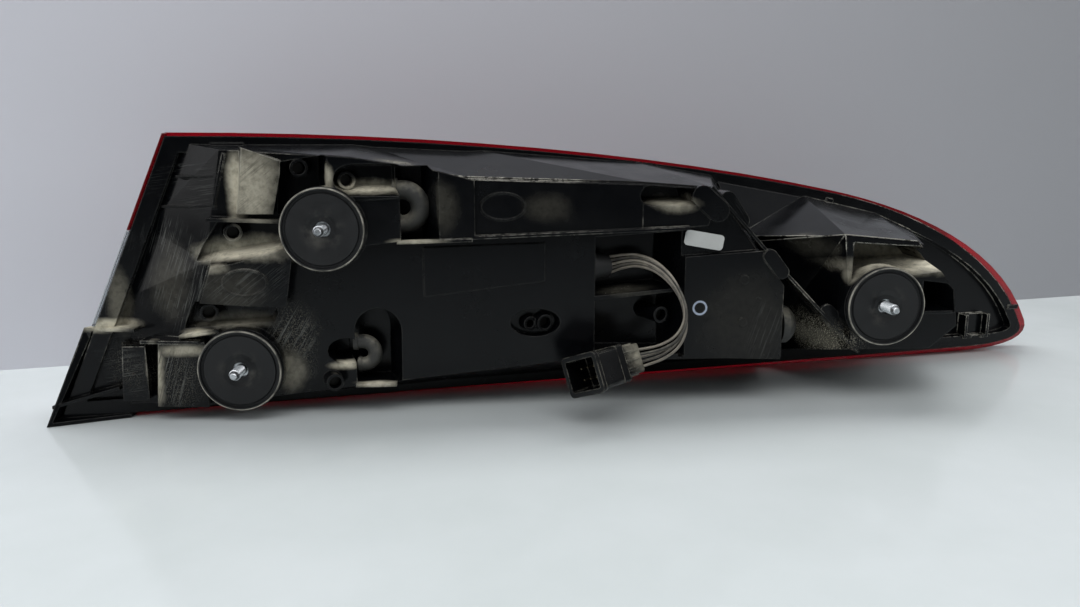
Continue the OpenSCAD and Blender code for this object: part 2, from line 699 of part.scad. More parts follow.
housing();
lens_red();
lens_clear();
lens_seal();
bezel();
reflector();
light_guide();
reflex_tile();
brake_board();
turn_board();
led_chips();
stud_upper();
stud_lower();
stud_outer();
seal_upper();
seal_lower();
seal_outer();
vent_upper();
vent_lower();
vent_outer();
housing_screws();
wire_grommet();
inner_loom();
wire_1();
wire_2();
wire_3();
wire_4();
wire_5();
plug_shell();
plug_collar();
plug_pins();
plug_wire_seal();
label();
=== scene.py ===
"""Tail light cluster seen from its mounting side: finishes, wires, camera and light."""
import math

import bmesh
import bpy
from mathutils import Euler, Matrix, Vector


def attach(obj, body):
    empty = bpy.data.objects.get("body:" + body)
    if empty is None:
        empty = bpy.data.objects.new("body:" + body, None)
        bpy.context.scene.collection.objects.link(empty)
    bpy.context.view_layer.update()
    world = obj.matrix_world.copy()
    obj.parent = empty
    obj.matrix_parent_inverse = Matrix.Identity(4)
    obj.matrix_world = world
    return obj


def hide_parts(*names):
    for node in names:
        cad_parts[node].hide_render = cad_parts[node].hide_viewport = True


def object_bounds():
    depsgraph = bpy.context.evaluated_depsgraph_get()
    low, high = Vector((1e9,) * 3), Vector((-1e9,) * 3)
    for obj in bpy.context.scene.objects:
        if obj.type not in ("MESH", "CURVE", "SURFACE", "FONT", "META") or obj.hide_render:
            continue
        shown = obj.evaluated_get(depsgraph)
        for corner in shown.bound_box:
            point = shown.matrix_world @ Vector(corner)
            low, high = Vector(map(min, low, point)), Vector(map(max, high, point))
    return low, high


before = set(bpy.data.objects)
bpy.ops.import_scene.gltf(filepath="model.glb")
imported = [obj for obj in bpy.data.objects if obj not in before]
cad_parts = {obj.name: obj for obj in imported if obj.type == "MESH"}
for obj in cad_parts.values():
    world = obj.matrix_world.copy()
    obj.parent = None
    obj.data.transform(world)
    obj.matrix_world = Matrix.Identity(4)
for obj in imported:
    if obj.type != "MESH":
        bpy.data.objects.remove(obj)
cad_box = [list(corner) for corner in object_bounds()]
MM = 0.001


# ---------------------------------------------------------------- node helper
def colour(code):
    """An sRGB hex colour as linear red, green, blue and alpha."""
    parts = [int(code[i:i + 2], 16) / 255 for i in (1, 3, 5)]
    return [p / 12.92 if p <= 0.04045 else ((p + 0.055) / 1.055) ** 2.4 for p in parts] + [1.0]


def add(tree, kind, settings=None, links=None):
    """Adds a shader node. Settings are its properties; links give its inputs a value or another node's output."""
    made = tree.nodes.new("ShaderNode" + kind)
    for name, value in (settings or {}).items():
        setattr(made, name, value)
    for name, value in (links or {}).items():
        if isinstance(value, bpy.types.NodeSocket):
            tree.links.new(value, made.inputs[name])
        else:
            made.inputs[name].default_value = value
    return made


def new_material(name):
    """An empty node material, its tree and its Object coordinates."""
    material = bpy.data.materials.new(name)
    material.use_nodes = True
    tree = material.node_tree
    tree.nodes.clear()
    where = add(tree, "TexCoord").outputs["Object"]
    return material, tree, where


def put_out(tree, shader):
    """Joins a shader to the material's surface."""
    add(tree, "OutputMaterial", {}, {"Surface": shader})


def new_piece(name, data, material):
    """An object of the scene from finished data, with one material."""
    data.materials.append(material)
    piece = bpy.data.objects.new(name, data)
    bpy.context.scene.collection.objects.link(piece)
    return piece


def mesh_piece(name, mesh, material):
    """The same from a bmesh, which it uses up."""
    data = bpy.data.meshes.new(name)
    mesh.to_mesh(data)
    mesh.free()
    return new_piece(name, data, material)


# ------------------------------------------------------------------ housing
# Where road dust has settled on the housing, in mm: centre, half sizes, and how thick it lies.
DUSTY_PLACES = [
    (-36, 4, 22, 17, 8, 24, 0.64),      # raised face beside the upper seal
    (-45, 10, 22, 6, 10, 20, 0.95),
    (-42, 17, -12, 29, 16, 8, 1.2),     # sloping floor under it
    (-57, 4, -20, 9, 5, 4, 0.4),
    (-52, 16, -51, 22, 9, 5, 0.35),     # pocket over the lower seal
    (-70, 8, -56, 12, 7, 3, 1.0),
    (-92, 5, -76, 5, 6, 18, 0.75),      # lower left block
    (-76, 4, -64, 14, 5, 4, 0.6),
    (-118, 14, -52, 16, 13, 4, 1.0),    # ledge over the corner piece
    (-112, 15, -40, 6, 9, 22, 0.2),
    (-22, 12, -78, 9, 6, 13, 0.35),     # beside the lower seal
    (24, 15, 21, 22, 11, 6, 1.0),       # floor of the keyhole slot
    (3, 8, 27, 4, 6, 9, 0.8),
    (40, 17, 36, 14, 6, 4, 0.25),
    (188, 15, 12, 16, 14, 6, 0.6),      # floor of the slot at the wing's shoulder
    (320, 24, -23, 42, 34, 8, 1.0),     # shelf over the outer seal
    (305, 44, -20, 34, 14, 8, 0.8),
    (262, 24, -38, 8, 18, 16, 0.12),
    (282, 40, -70, 20, 24, 9, 0.3),
    (272, 24, -14, 18, 16, 8, 0.16),    # thin films on the flat faces
    (232, 8, -53, 34, 5, 30, 0.022),
    (-50, 4, -32, 22, 5, 16, 0.05),
    (-85, 16, -28, 14, 8, 24, 0.06),
    (288, 8, -28, 7, 6, 5, 0.4),
    (8, 14, -76, 12, 6, 3, 1.0),        # lower lip of the oval hole
    (24, 9, -86, 15, 6, 2, 0.9),
    (50, 6, -7, 16, 5, 2, 0.8),
    (170, 24, -38, 24, 16, 3, 0.12),
    (118, 8, 10, 16, 4, 9, 0.05),
    (62, 5, 10, 10, 5, 15, 0.06),
]
# Where it lies as loose specks only.
SPECKLED_PLACES = [
    (284, 36, -68, 28, 34, 16, 1.0),
    (-20, 12, -66, 14, 6, 24, 0.14),
    (-80, 6, -80, 16, 6, 18, 0.14),
    (-108, 14, -75, 14, 10, 18, 0.2),
]
# Where the skin is rubbed: centre, half sizes, strength, and the slope of the strokes in degrees.
RUBBED_PLACES = [
    (-34, 4, 26, 18, 6, 24, 0.65, 38),
    (-45, 4, -28, 24, 6, 14, 0.5, 38),
    (-22, 12, -68, 14, 6, 24, 0.8, 60),
    (-80, 15, -24, 22, 16, 34, 0.7, 72),
    (-82, 4, -78, 16, 6, 20, 0.7, 72),
    (-72, 16, 24, 22, 12, 18, 0.25, 8),
    (-112, 12, -76, 16, 12, 20, 0.5, 8),
    (238, 30, 4, 22, 30, 16, 0.35, -55),
    (240, 8, -60, 12, 4, 16, 0.3, 72),
]
# Edges painted paler, partly wear from hands and tools and partly painted highlight along their rounds: centre, half
# sizes and strength, where more than 1 shows on softer edges too.
WORN_AND_GLINT_PLACES = [
    (100, 14, 27, 55, 10, 9, 1.6),
    (100, 5, -5, 100, 5, 4, 0.45),
    (268, 26, -9, 22, 20, 6, 2.0),
    (304, 8, -9, 40, 12, 6, 2.5),
    (262, 22, -36, 18, 22, 30, 1.2),
    (330, 97, 6, 60, 20, 8, 0.5),
    (436, 117, -55, 36, 26, 48, 1.6),
    (370, 100, -12, 46, 26, 12, 1.3),
    (-35, 8, 36, 26, 12, 16, 0.6),
    (-50, 10, -16, 34, 12, 16, 0.4),
    (-95, 8, -66, 50, 12, 14, 0.6),
    (25, 8, -85, 20, 8, 4, 1.0),
    (182, 12, 4, 22, 16, 8, 0.7),
    (245, 40, -10, 36, 50, 30, 0.35),
]
# The studs' axes in metres, X and Z, from the middle of each seal.
STUDS = []
for seal in ("seal_upper", "seal_lower", "seal_outer"):
    spots = [vertex.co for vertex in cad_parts[seal].data.vertices]
    STUDS.append([(min(spot[axis] for spot in spots) + max(spot[axis] for spot in spots)) / 2
                  for axis in (0, 2)])


# Every moulded edge is at least this much paler, partly as wear and partly as painted highlight.
LEAST_WEAR_AND_GLINT = 0.04
# The painted ring, in mm: its middle radius, how far the ink reaches to either side, and the depth of the face.
RING_RADIUS, INK_SOLID, INK_ENDS, RING_DEPTH = 3.6, 0.35, 0.75, 8


def blot(tree, where, cloud, place):
    """A soft ellipsoid in Object coordinates whose rim the noise breaks up."""
    x, y, z, wide, deep, high, reach = place[:7]
    local = add(tree, "Mapping", {"vector_type": "TEXTURE"},
                {"Vector": where, "Location": (x * MM, y * MM, z * MM),
                 "Scale": (wide * MM, deep * MM, high * MM)}).outputs["Vector"]
    far = add(tree, "VectorMath", {"operation": "LENGTH"}, {0: local}).outputs["Value"]
    broken = add(tree, "Math", {"operation": "MULTIPLY_ADD"}, {0: cloud, 1: -1.2, 2: far}).outputs[0]
    return add(tree, "MapRange", {"interpolation_type": "SMOOTHSTEP"},
               {"Value": broken, "From Min": 0.6, "From Max": -0.3, "To Max": reach}).outputs["Result"]


def blots(tree, where, cloud, places):
    """The thickest of several such ellipsoids."""
    most = None
    for place in places:
        one = blot(tree, where, cloud, place)
        most = one if most is None else add(tree, "Math", {"operation": "MAXIMUM"}, {0: most, 1: one}).outputs[0]
    return most


def moulded_black(name, body, wear_and_glint_colour, dusty_places, speckled_places, rubbed_places, worn_and_glint_places,
                  painted_ring=None):
    """Injection-moulded ABS or PBT: near black and half glossy, with settled dust, rub marks and paler edges, partly
    wear and partly painted highlight.
    """
    material, tree, where = new_material(name)
    # Wiping marks about 25 mm wide, a break-up of 4 mm, and the mould's grain, drawn at 0.7 mm so that it shows.
    cloud = add(tree, "TexNoise", {},
                {"Vector": where, "Scale": 40.0, "Detail": 5.0, "Roughness": 0.6}).outputs["Fac"]
    fine = add(tree, "TexNoise", {},
               {"Vector": where, "Scale": 260.0, "Detail": 4.0, "Roughness": 0.65}).outputs["Fac"]
    grain = add(tree, "TexNoise", {}, {"Vector": where, "Scale": 1800.0, "Detail": 2.0}).outputs["Fac"]
    normal = add(tree, "NewGeometry").outputs["Normal"]
    up = add(tree, "SeparateXYZ", {}, {"Vector": normal}).outputs["Z"]
    facing = add(tree, "MapRange", {},
                 {"Value": up, "From Min": -0.8, "From Max": 0.3, "To Min": 0.1}).outputs["Result"]
    broken = add(tree, "MapRange", {},
                 {"Value": fine, "From Min": 0.3, "From Max": 0.55, "To Min": 0.6}).outputs["Result"]
    dust = blots(tree, where, cloud, dusty_places)
    dust = add(tree, "Math", {"operation": "MULTIPLY"}, {0: dust, 1: broken}).outputs[0]
    dust = add(tree, "Math", {"operation": "MULTIPLY"}, {0: dust, 1: facing}).outputs[0]
    # Specks are 1 mm grains, where the finest noise is highest.
    if speckled_places:
        specks = add(tree, "MapRange", {}, {"Value": grain, "From Min": 0.52, "From Max": 0.68}).outputs["Result"]
        spots = blots(tree, where, cloud, speckled_places)
        specks = add(tree, "Math", {"operation": "MULTIPLY"}, {0: specks, 1: spots}).outputs[0]
        dust = add(tree, "Math", {"operation": "MAXIMUM"}, {0: dust, 1: specks}).outputs[0]
    # Rub marks: strokes about 18 mm long and 0.6 mm wide, all those of one slope from one noise.
    rubs = None
    for slope in sorted({place[7] for place in rubbed_places}):
        turned = add(tree, "Mapping", {"vector_type": "TEXTURE"},
                     {"Vector": where, "Rotation": (0.0, -math.radians(slope), 0.0),
                      "Scale": (18 * MM, 18 * MM, 0.6 * MM)}).outputs["Vector"]
        stroke = add(tree, "TexNoise", {},
                     {"Vector": turned, "Scale": 1.0, "Detail": 2.0, "Distortion": 0.3}).outputs["Fac"]
        thin = add(tree, "MapRange", {"interpolation_type": "SMOOTHSTEP"},
                   {"Value": stroke, "From Min": 0.53, "From Max": 0.66}).outputs["Result"]
        spots = blots(tree, where, cloud, [place for place in rubbed_places if place[7] == slope])
        kept = add(tree, "Math", {"operation": "MULTIPLY"}, {0: thin, 1: spots}).outputs[0]
        gap = add(tree, "MapRange", {},
                  {"Value": cloud, "From Min": 0.4, "From Max": 0.56, "To Min": 0.15}).outputs["Result"]
        kept = add(tree, "Math", {"operation": "MULTIPLY"}, {0: kept, 1: gap}).outputs[0]
        rubs = kept if rubs is None else add(tree, "Math", {"operation": "MAXIMUM"}, {0: rubs, 1: kept}).outputs[0]
    # Paler edges, partly wear and partly painted highlight: where the rounded normal leaves the flat one.
    rounded = add(tree, "Bevel", {"samples": 4}, {"Radius": MM}).outputs["Normal"]
    along = add(tree, "VectorMath", {"operation": "DOT_PRODUCT"}, {0: rounded, 1: normal}).outputs["Value"]
    edge = add(tree, "MapRange", {}, {"Value": along, "From Min": 0.985, "From Max": 0.91}).outputs["Result"]
    spots = blots(tree, where, cloud, worn_and_glint_places)
    worn_and_glint_here = add(tree, "Math", {"operation": "MAXIMUM"}, {0: spots, 1: LEAST_WEAR_AND_GLINT}).outputs[0]
    spotty = add(tree, "MapRange", {},
                 {"Value": fine, "From Min": 0.4, "From Max": 0.56, "To Min": 0.1}).outputs["Result"]
    edge = add(tree, "Math", {"operation": "MULTIPLY"}, {0: edge, 1: worn_and_glint_here}).outputs[0]
    edge = add(tree, "Math", {"operation": "MULTIPLY"}, {0: edge, 1: spotty}).outputs[0]
    base = add(tree, "Mix", {"data_type": "RGBA"},
               {"Factor": cloud, 6: colour(body), 7: colour("#08090b")}).outputs[2]
    if rubbed_places:
        # A stroke is pale on bare plastic and dark where it has wiped the dust away.
        bare = add(tree, "MapRange", {},
                   {"Value": dust, "From Max": 0.4, "To Min": 0.45, "To Max": 0.0}).outputs["Result"]
        scratch = add(tree, "Math", {"operation": "MULTIPLY"}, {0: rubs, 1: bare}).outputs[0]
        base = add(tree, "Mix", {"data_type": "RGBA"},
                   {"Factor": scratch, 6: base, 7: colour("#8f918c")}).outputs[2]
        wiped = add(tree, "MapRange", {}, {"Value": rubs, "To Min": 1.0, "To Max": 0.0}).outputs["Result"]
        dust = add(tree, "Math", {"operation": "MULTIPLY", "use_clamp": True}, {0: dust, 1: wiped}).outputs[0]
    dusty = add(tree, "Mix", {"data_type": "RGBA"},
                {"Factor": fine, 6: colour("#cdc6ae"), 7: colour("#ece6d2")}).outputs[2]
    shade = add(tree, "Mix", {"data_type": "RGBA"}, {"Factor": dust, 6: base, 7: dusty}).outputs[2]
    # The pale edge colour is partly wear and partly a painted highlight along the edges.
    shade = add(tree, "Mix", {"data_type": "RGBA"}, {"Factor": edge, 6: shade, 7: colour(wear_and_glint_colour)}).outputs[2]
    if painted_ring:
        # An inspector's ring of pale ink, 8 mm wide, worn thin in places.
        x, z = painted_ring
        spot = add(tree, "Mapping", {"vector_type": "TEXTURE"},
                   {"Vector": where, "Location": (x * MM, RING_DEPTH * MM, z * MM),
                    "Scale": (MM, 4 * MM, MM)}).outputs["Vector"]
        far = add(tree, "VectorMath", {"operation": "LENGTH"}, {0: spot}).outputs["Value"]
        off = add(tree, "Math", {"operation": "SUBTRACT"}, {0: far, 1: RING_RADIUS}).outputs[0]
        off = add(tree, "Math", {"operation": "ABSOLUTE"}, {0: off}).outputs[0]
        ink = add(tree, "MapRange", {"interpolation_type": "SMOOTHSTEP"},
                  {"Value": off, "From Min": INK_ENDS, "From Max": INK_SOLID}).outputs["Result"]
        ink = add(tree, "Math", {"operation": "MULTIPLY"}, {0: ink, 1: broken}).outputs[0]
        shade = add(tree, "Mix", {"data_type": "RGBA"}, {"Factor": ink, 6: shade, 7: colour("#a9b4c6")}).outputs[2]
    gloss = add(tree, "MapRange", {}, {"Value": cloud, "From Min": 0.35, "From Max": 0.7,
                                       "To Min": 0.16, "To Max": 0.3}).outputs["Result"]
    rough = add(tree, "Mix", {"data_type": "FLOAT"}, {"Factor": dust, 2: gloss, 3: 0.95}).outputs[0]
    bump = add(tree, "Bump", {}, {"Strength": 0.035, "Distance": 0.2 * MM,
                                  "Height": grain, "Normal": rounded}).outputs["Normal"]
    # The weathered skin shines less than new plastic does.
    shader = add(tree, "BsdfPrincipled", {}, {"Base Color": shade, "Roughness": rough, "IOR": 1.38,
                                              "Specular IOR Level": 0.36, "Normal": bump})
    put_out(tree, shader.outputs["BSDF"])
    return material


# ------------------------------------------------------------- other finishes
def moulded_disc(name, dark, light):
    """Moulded EPDM: dull black, with a grey bloom near the stud and a pale line of dust on the lip."""
    material, tree, where = new_material(name)
    cloud = add(tree, "TexNoise", {},
                {"Vector": where, "Scale": 110.0, "Detail": 5.0, "Roughness": 0.6}).outputs["Fac"]
    fine = add(tree, "TexNoise", {}, {"Vector": where, "Scale": 900.0, "Detail": 3.0}).outputs["Fac"]
    radius = None
    for x, z in STUDS:
        # The distance from the nearest stud's axis, in mm.
        local = add(tree, "Mapping", {"vector_type": "TEXTURE"},
                    {"Vector": where, "Location": (x, 0.0, z), "Scale": (MM, 1.0, MM)}).outputs["Vector"]
        far = add(tree, "VectorMath", {"operation": "LENGTH"}, {0: local}).outputs["Value"]
        if radius is None:
            radius = far
        else:
            radius = add(tree, "Math", {"operation": "MINIMUM"}, {0: radius, 1: far}).outputs[0]
    lip = add(tree, "MapRange", {"interpolation_type": "SMOOTHSTEP"},
              {"Value": radius, "From Min": 21.1, "From Max": 21.4}).outputs["Result"]
    patchy = add(tree, "MapRange", {}, {"Value": cloud, "From Min": 0.38, "From Max": 0.62,
                                        "To Min": 0.15, "To Max": 0.85}).outputs["Result"]
    front = add(tree, "SeparateXYZ", {}, {"Vector": add(tree, "NewGeometry").outputs["Normal"]}).outputs["Y"]
    front = add(tree, "MapRange", {}, {"Value": front, "From Min": -0.2, "From Max": -0.8}).outputs["Result"]
    lip = add(tree, "Math", {"operation": "MULTIPLY"}, {0: lip, 1: patchy}).outputs[0]
    lip = add(tree, "Math", {"operation": "MULTIPLY"}, {0: lip, 1: front}).outputs[0]
    inner = add(tree, "MapRange", {"interpolation_type": "SMOOTHSTEP"},
                {"Value": radius, "From Min": 14.0, "From Max": 5.0}).outputs["Result"]
    bloom = add(tree, "MapRange", {},
                {"Value": cloud, "From Min": 0.5, "From Max": 0.7, "To Max": 0.12}).outputs["Result"]
    bloom = add(tree, "Math", {"operation": "MULTIPLY"}, {0: bloom, 1: inner}).outputs[0]
    pale = add(tree, "Math", {"operation": "MAXIMUM"}, {0: lip, 1: bloom}).outputs[0]
    shade = add(tree, "Mix", {"data_type": "RGBA"}, {"Factor": cloud, 6: colour(dark), 7: colour(light)}).outputs[2]
    shade = add(tree, "Mix", {"data_type": "RGBA"}, {"Factor": pale, 6: shade, 7: colour("#b9b5a8")}).outputs[2]
    rough = add(tree, "MapRange", {}, {"Value": cloud, "From Min": 0.3, "From Max": 0.7,
                                       "To Min": 0.42, "To Max": 0.62}).outputs["Result"]
    relief = add(tree, "Bump", {}, {"Strength": 0.1, "Distance": 0.1 * MM, "Height": fine}).outputs["Normal"]
    shader = add(tree, "BsdfPrincipled", {},
                 {"Base Color": shade, "Roughness": rough, "IOR": 1.45, "Normal": relief})
    put_out(tree, shader.outputs["BSDF"])
    return material


def cast_lens(name, tint, depth, clear):
    """Injection-moulded PMMA: clear through its thickness and glossy, with faint flow lines."""
    material, tree, where = new_material(name)
    haze = add(tree, "TexNoise", {}, {"Vector": where, "Scale": 90.0, "Detail": 5.0}).outputs["Fac"]
    rough = add(tree, "MapRange", {}, {"Value": haze, "From Min": 0.4, "From Max": 0.75,
                                       "To Min": 0.03, "To Max": 0.14}).outputs["Result"]
    shade = add(tree, "Mix", {"data_type": "RGBA"}, {"Factor": haze, 6: colour(tint), 7: colour(depth)}).outputs[2]
    bump = add(tree, "Bump", {}, {"Strength": 0.04, "Distance": 0.3 * MM, "Height": haze}).outputs["Normal"]
    shader = add(tree, "BsdfPrincipled", {}, {"Base Color": shade, "Roughness": rough, "IOR": 1.49,
                                              "Transmission Weight": clear, "Coat Weight": 0.3,
                                              "Coat Roughness": 0.03, "Normal": bump})
    put_out(tree, shader.outputs["BSDF"])
    return material


def plain_finish(name, dark, light, rough, metal=0.0, scale=150.0, dust=0.0):
    """A moulded, rolled or plated surface: two close shades, a fine relief and dust on what faces up."""
    material, tree, where = new_material(name)
    cloud = add(tree, "TexNoise", {},
                {"Vector": where, "Scale": scale, "Detail": 5.0, "Roughness": 0.6}).outputs["Fac"]
    fine = add(tree, "TexNoise", {}, {"Vector": where, "Scale": scale * 9, "Detail": 3.0}).outputs["Fac"]
    shade = add(tree, "Mix", {"data_type": "RGBA"}, {"Factor": cloud, 6: colour(dark), 7: colour(light)}).outputs[2]
    if dust:
        up = add(tree, "SeparateXYZ", {}, {"Vector": add(tree, "NewGeometry").outputs["Normal"]}).outputs["Z"]
        settled = add(tree, "MapRange", {"interpolation_type": "SMOOTHSTEP"},
                      {"Value": up, "From Min": -0.2, "From Max": 0.9, "To Max": dust}).outputs["Result"]
        patch = add(tree, "MapRange", {}, {"Value": cloud, "From Min": 0.38, "From Max": 0.6}).outputs["Result"]
        lying = add(tree, "Math", {"operation": "MULTIPLY"}, {0: settled, 1: patch}).outputs[0]
        shade = add(tree, "Mix", {"data_type": "RGBA"}, {"Factor": lying, 6: shade, 7: colour("#c2bca8")}).outputs[2]
    gloss = add(tree, "MapRange", {},
                {"Value": fine, "To Min": rough * 0.8, "To Max": rough * 1.25}).outputs["Result"]
    relief = add(tree, "Bump", {}, {"Strength": 0.2, "Distance": 0.1 * MM, "Height": fine}).outputs["Normal"]
    shader = add(tree, "BsdfPrincipled", {}, {"Base Color": shade, "Roughness": gloss, "Metallic": metal,
                                              "IOR": 1.5, "Normal": relief})
    put_out(tree, shader.outputs["BSDF"])
    return material


# Each call's third colour is that of the paler edges, partly wear and partly painted highlight.
black_abs = moulded_black("Moulded black ABS, dusty", "#050608", "#c9c6ba",
                          DUSTY_PLACES, SPECKLED_PLACES, RUBBED_PLACES, WORN_AND_GLINT_PLACES, (203.5, -45.7))
pbt = moulded_black("Moulded black PBT, dusty tail", "#08090a", "#8e8b80",
                    [(162, -1, -71, 12, 14, 14, 0.65)], [], [], [(145, -15, -73, 26, 26, 20, 1.2)])
bezel_abs = plain_finish("Moulded grained ABS", "#101113", "#17181a", 0.45)
red_pmma = cast_lens("Moulded red PMMA", "#c00d24", "#a00a1c", 0.85)
clear_pmma = cast_lens("Moulded clear PMMA", "#f2f5f6", "#e4e9eb", 0.96)
butyl = plain_finish("Pressed-in butyl sealant", "#0d0d0e", "#18181a", 0.6)
chrome = plain_finish("Vacuum-metallised polycarbonate", "#d4d7da", "#e4e6e8", 0.12, 1.0)
frosted = plain_finish("Frosted PMMA light guide", "#e6eaed", "#f4f7f9", 0.4)
tile_red = plain_finish("Prismatic red PMMA tile", "#9a0d1a", "#c01426", 0.2)
fr4 = plain_finish("Green solder mask on FR4", "#14442a", "#1d5a37", 0.35)
phosphor = plain_finish("LED phosphor in white package", "#d9c45a", "#efe08a", 0.4)
zinc = plain_finish("Zinc-plated steel", "#b4b8bc", "#d7dadc", 0.28, 1.0, 300.0)
epdm_disc = moulded_disc("Moulded EPDM disc", "#0b0c0d", "#17181a")
epdm = plain_finish("Moulded EPDM rubber", "#0c0d0e", "#161718", 0.6)
grey_rubber = plain_finish("Aged grey silicone rubber", "#2b2c2c", "#474743", 0.6, dust=0.35)
# The screws are black zinc and also painted shade: kept this dark so that the bosses' ends read as shaded bores.
screw_dark_for_bore_shade = plain_finish("Black-zinc steel screw, dark for bore shade", "#151515", "#24221f", 0.4, 0.8, 300.0)
pvc_black = plain_finish("Extruded black PVC", "#111112", "#1c1c1d", 0.5)
tin = plain_finish("Tin-plated brass, dull", "#4d473a", "#665f4e", 0.45, 1.0, 400.0)
silicone = plain_finish("Red-brown silicone seal", "#3f2a20", "#5a3f31", 0.6)
paper = plain_finish("White polyester label film", "#adafad", "#bdbfbd", 0.45)
WIRE_SHADES = (("#6f695f", "#968f84"), ("#292828", "#4c4943"), ("#7c756b", "#a29b8f"),
               ("#403e3a", "#625d55"), ("#5f5a52", "#857e74"))
wire_pvc = [plain_finish("Dusty PVC insulation %d" % (i + 1), dark, light, 0.5, scale=220.0, dust=0.3)
            for i, (dark, light) in enumerate(WIRE_SHADES)]

finish = {
    "housing": black_abs, "lens_red": red_pmma, "lens_clear": clear_pmma, "lens_seal": butyl, "bezel": bezel_abs,
    "reflector": chrome, "light_guide": frosted, "reflex_tile": tile_red, "brake_board": fr4, "turn_board": fr4,
    "led_chips": phosphor, "stud_upper": zinc, "stud_lower": zinc, "stud_outer": zinc, "seal_upper": epdm_disc,
    "seal_lower": epdm_disc, "seal_outer": epdm_disc, "vent_upper": grey_rubber, "vent_lower": grey_rubber,
    "vent_outer": grey_rubber, "housing_screws": screw_dark_for_bore_shade, "wire_grommet": epdm, "inner_loom": pvc_black,
    "plug_shell": pbt, "plug_collar": pbt, "plug_pins": tin, "plug_wire_seal": silicone, "label": paper,
}
for name, material in finish.items():
    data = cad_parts[name].data
    data.materials.clear()
    data.materials.append(material)

# --------------------------------------------------------------------- studs
# In mm. The thread starts where the stud leaves its tower and ends at a bare, chamfered tip.
THREAD_PITCH = 1.0
THREAD_DEPTH = 0.45
STATIONS_A_PITCH = 6
THREAD_START = 4.0          # on the frame's Y axis
FOOT_STEP = 1.5             # how far the foot stands out round the thread
BARE_TIP = 2.5
LAST_GROOVE = 0.1           # from the thread's end to the tip's narrowest ring
CHAMFER = 0.4


def threaded_stud(name, node):
    """A rolled M6 thread with a bare tip, in place of the plain stud and within its size."""
    spots = [vertex.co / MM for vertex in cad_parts[node].data.vertices]
    low, high = [[pick(spot[axis] for spot in spots) for axis in range(3)] for pick in (min, max)]
    x, z = (low[0] + high[0]) / 2, (low[2] + high[2]) / 2
    foot, tip = high[1], low[1]
    foot_radius = (high[0] - low[0]) / 2
    thread_radius = foot_radius - FOOT_STEP
    thread_end = tip + BARE_TIP
    mesh = bmesh.new()
    bmesh.ops.create_circle(mesh, segments=32, radius=foot_radius, cap_ends=True)
    bmesh.ops.reverse_faces(mesh, faces=list(mesh.faces))
    # Stations run from the foot to the tip: distance from the foot, radius, and whether it's threaded.
    bare = foot - THREAD_START
    stations = [(bare, foot_radius, False), (bare, thread_radius, False)]
    steps = int((THREAD_START - thread_end) / THREAD_PITCH * STATIONS_A_PITCH)
    stations += [(bare + (k + 1) * THREAD_PITCH / STATIONS_A_PITCH, thread_radius, True) for k in range(steps)]
    stations += [(foot - thread_end + LAST_GROOVE, thread_radius - THREAD_DEPTH, False),
                 (foot - tip - CHAMFER, thread_radius * 0.6, False), (foot - tip, thread_radius * 0.45, False)]
    face = max(mesh.faces, key=lambda cap: len(cap.verts))
    for along, radius, threaded in stations:
        face = bmesh.ops.extrude_discrete_faces(mesh, faces=[face])["faces"][0]
        for vertex in face.verts:
            turn = math.atan2(vertex.co.y, vertex.co.x)
            wave = (along / THREAD_PITCH - turn / math.tau) % 1.0
            cut = THREAD_DEPTH * (1 - abs(2 * wave - 1)) if threaded else 0.0
            vertex.co = Vector((math.cos(turn) * (radius - cut), math.sin(turn) * (radius - cut), along))
    bmesh.ops.recalc_face_normals(mesh, faces=list(mesh.faces))
    at_foot = Matrix.Translation(Vector((x, foot, z)) * MM)
    place = at_foot @ Matrix.Rotation(math.radians(90), 4, "X") @ Matrix.Scale(MM, 4)
    bmesh.ops.transform(mesh, matrix=place, verts=list(mesh.verts))
    piece = mesh_piece(name, mesh, zinc)
    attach(piece, "root")
    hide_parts(node)


for spot in ("upper", "lower", "outer"):
    threaded_stud("threaded_stud_" + spot, "stud_" + spot)

# ---------------------------------------------------------------- lens skirt
# The lens laps over the left end of the housing's flange. In mm: its outer corner at two heights, its section's two
# directions and sizes, the round of its edges, and the thin joint between its two colours.
SKIRT_TOP, SKIRT_LOW = Vector((-86.2, 30.1, 49.6)), Vector((-129.3, 22.0, -54.0))
SKIRT_ALONG, SKIRT_BACK = Vector((0.983, 0.182, 0)), Vector((0.182, -0.983, 0))
SKIRT_THICK, SKIRT_DEEP, SKIRT_ROUND = 1.8, 8.6, 0.35
COLOURS_MEET_AT, JOINT = -1.3, 0.2


def lens_skirt(name, high, low, material):
    """One colour of the skirt between two heights: a bar drawn out along the lamp's left edge."""
    mesh = bmesh.new()
    rise = SKIRT_TOP - SKIRT_LOW
    start, end = [SKIRT_LOW + rise * (z - SKIRT_LOW.z) / rise.z for z in (high, low)]
    along, back = SKIRT_THICK * SKIRT_ALONG, SKIRT_DEEP * SKIRT_BACK
    corners = [start, start + along, start + along + back, start + back]
    face = mesh.faces.new([mesh.verts.new(corner * MM) for corner in corners])
    drawn = bmesh.ops.extrude_face_region(mesh, geom=[face])["geom"]
    far_end = [part for part in drawn if isinstance(part, bmesh.types.BMVert)]
    bmesh.ops.translate(mesh, vec=(end - start) * MM, verts=far_end)
    bmesh.ops.recalc_face_normals(mesh, faces=list(mesh.faces))
    bmesh.ops.bevel(mesh, geom=list(mesh.edges), offset=SKIRT_ROUND * MM, segments=2, profile=0.5,
                    affect="EDGES", material=-1)
    piece = mesh_piece(name, mesh, material)
    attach(piece, "root")


lens_skirt("lens_skirt_red", SKIRT_TOP.z, COLOURS_MEET_AT + JOINT / 2, red_pmma)
lens_skirt("lens_skirt_clear", COLOURS_MEET_AT - JOINT / 2, SKIRT_LOW.z + 1.5, clear_pmma)

